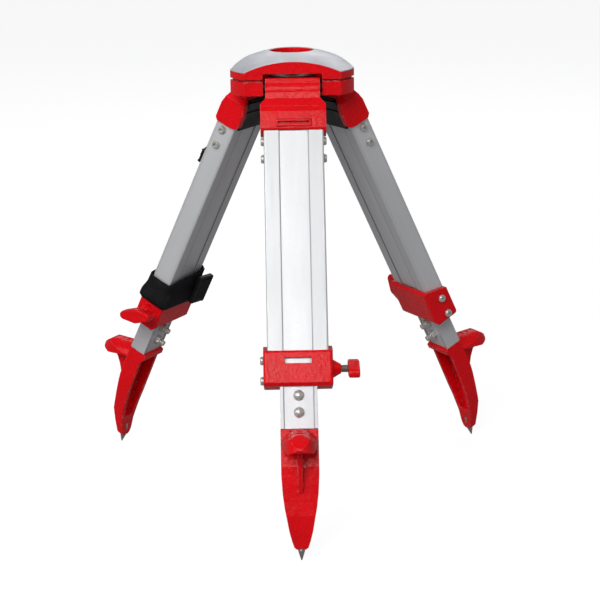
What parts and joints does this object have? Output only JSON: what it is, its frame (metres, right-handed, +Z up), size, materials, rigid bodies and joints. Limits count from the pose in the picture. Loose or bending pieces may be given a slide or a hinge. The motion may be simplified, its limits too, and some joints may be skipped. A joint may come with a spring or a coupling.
{
  "type": "surveyor tripod",
  "caption": "Short surveying tripod with a dome head, telescoping aluminium legs, screw clamps and cast feet with steps and steel points.",
  "frame": {"origin": "on the ground plane under the tripod's axis, midway between the three points", "axes": "+Z up, -Y towards the front leg, +X to the right seen from the front leg"},
  "size_m": [0.4354, 0.3905, 0.4636],
  "materials": {
    "red_paint": "gloss",
    "head_paint": "gloss red with a bare machined dome",
    "aluminium": "satin anodised",
    "zinc_steel": "zinc plated",
    "dark_steel": "threaded, dark",
    "point_steel": "turned",
    "brass": "turned",
    "black_plastic": "matte",
    "webbing": "woven nylon"
  },
  "bodies": {
    "head": {"head_casting": "head_paint", "arm_pivot_bolt": "zinc_steel", "front_hinge_pin": "zinc_steel", "front_hinge_washers": "black_plastic", "right_hinge_pin": "zinc_steel", "right_hinge_washers": "black_plastic", "left_hinge_pin": "zinc_steel", "left_hinge_washers": "black_plastic"},
    "arm": {"screw_arm": "zinc_steel"},
    "carriage": {"guide_bush": "black_plastic"},
    "dish": {"clamp_dish": "zinc_steel"},
    "screw": {"fixing_screw": "brass", "screw_knob": "black_plastic", "plumb_hook": "zinc_steel"},
    "front_upper_leg": {"front_hinge_casting": "red_paint", "front_profile": "aluminium", "front_profile_liner": "black_plastic", "front_top_bolts": "zinc_steel", "front_collar": "red_paint", "front_collar_bolts": "zinc_steel"},
    "front_lower_leg": {"front_lower_tube": "aluminium", "front_slide_guide": "black_plastic", "front_foot": "red_paint", "front_foot_bolts": "zinc_steel", "front_foot_point": "point_steel"},
    "front_pad": {"front_clamp_pad": "black_plastic"},
    "front_clamp": {"front_clamp_screw": "dark_steel", "front_clamp_knob": "red_paint"},
    "right_upper_leg": {"right_hinge_casting": "red_paint", "right_profile": "aluminium", "right_profile_liner": "black_plastic", "right_top_bolts": "zinc_steel", "right_collar": "red_paint", "right_collar_bolts": "zinc_steel"},
    "right_lower_leg": {"right_lower_tube": "aluminium", "right_slide_guide": "black_plastic", "right_foot": "red_paint", "right_foot_bolts": "zinc_steel", "right_foot_point": "point_steel"},
    "right_pad": {"right_clamp_pad": "black_plastic"},
    "right_clamp": {"right_clamp_screw": "dark_steel", "right_clamp_knob": "red_paint"},
    "left_upper_leg": {"left_hinge_casting": "red_paint", "left_profile": "aluminium", "left_profile_liner": "black_plastic", "left_top_bolts": "zinc_steel", "left_collar": "red_paint", "left_collar_bolts": "zinc_steel", "wrap_strap": "webbing", "strap_buckle": "black_plastic", "carry_strap": "webbing", "strap_slider": "black_plastic"},
    "left_lower_leg": {"left_lower_tube": "aluminium", "left_slide_guide": "black_plastic", "left_foot": "red_paint", "left_foot_bolts": "zinc_steel", "left_foot_point": "point_steel"},
    "left_pad": {"left_clamp_pad": "black_plastic"},
    "left_clamp": {"left_clamp_screw": "dark_steel", "left_clamp_knob": "red_paint"}
  },
  "joints": [
    {"name": "front_leg_hinge", "type": "hinge", "parent": "head", "child": "front_upper_leg", "pos_m": [0, -0.0373, 0.42999], "axis": [-1, 0, 0], "range_deg": [-23.35, 16]},
    {"name": "front_leg_slide", "type": "slide", "parent": "front_upper_leg", "child": "front_lower_leg", "axis": [0, -0.4439, -0.8961], "range_m": [0, 0.15]},
    {"name": "front_pad_slide", "type": "slide", "parent": "front_upper_leg", "child": "front_pad", "axis": [1, 0, 0], "range_m": [0, 0.0015]},
    {"name": "front_clamp_turn", "type": "hinge", "parent": "front_pad", "child": "front_clamp", "pos_m": [0, -0.16832, 0.17256], "axis": [1, 0, 0], "range_deg": [0, 432]},
    {"name": "right_leg_hinge", "type": "hinge", "parent": "head", "child": "right_upper_leg", "pos_m": [0.0323, 0.01865, 0.42999], "axis": [0.5, -0.866, 0], "range_deg": [-23.35, 16]},
    {"name": "right_leg_slide", "type": "slide", "parent": "right_upper_leg", "child": "right_lower_leg", "axis": [0.3844, 0.2219, -0.8961], "range_m": [0, 0.15]},
    {"name": "right_pad_slide", "type": "slide", "parent": "right_upper_leg", "child": "right_pad", "axis": [-0.5, 0.866, 0], "range_m": [0, 0.0015]},
    {"name": "right_clamp_turn", "type": "hinge", "parent": "right_pad", "child": "right_clamp", "pos_m": [0.14577, 0.08416, 0.17256], "axis": [-0.5, 0.866, 0], "range_deg": [0, 432]},
    {"name": "left_leg_hinge", "type": "hinge", "parent": "head", "child": "left_upper_leg", "pos_m": [-0.0323, 0.01865, 0.42999], "axis": [0.5, 0.866, 0], "range_deg": [-23.35, 16]},
    {"name": "left_leg_slide", "type": "slide", "parent": "left_upper_leg", "child": "left_lower_leg", "axis": [-0.3844, 0.2219, -0.8961], "range_m": [0, 0.15]},
    {"name": "left_pad_slide", "type": "slide", "parent": "left_upper_leg", "child": "left_pad", "axis": [-0.5, -0.866, 0], "range_m": [0, 0.0015]},
    {"name": "left_clamp_turn", "type": "hinge", "parent": "left_pad", "child": "left_clamp", "pos_m": [-0.14577, 0.08416, 0.17256], "axis": [-0.5, -0.866, 0], "range_deg": [0, 432]},
    {"name": "arm_swing", "type": "hinge", "parent": "head", "child": "arm", "pos_m": [0, 0.031, 0.43159], "axis": [0, 0, 1], "range_deg": [-12, 12]},
    {"name": "carriage_slide", "type": "slide", "parent": "arm", "child": "carriage", "axis": [0, -1, 0], "range_m": [0, 0.008]},
    {"name": "screw_lift", "type": "slide", "parent": "carriage", "child": "dish", "axis": [0, 0, 1], "range_m": [0, 0.0112]},
    {"name": "screw_turn", "type": "hinge", "parent": "dish", "child": "screw", "pos_m": [0, 0, 0.42], "axis": [0, 0, 1], "continuous": true}
  ],
  "couplings": [
    {"joint": "front_clamp_turn", "follows": "front_pad_slide", "rad_per_m": 5026.5},
    {"joint": "right_clamp_turn", "follows": "right_pad_slide", "rad_per_m": 5026.5},
    {"joint": "left_clamp_turn", "follows": "left_pad_slide", "rad_per_m": 5026.5}
  ]
}
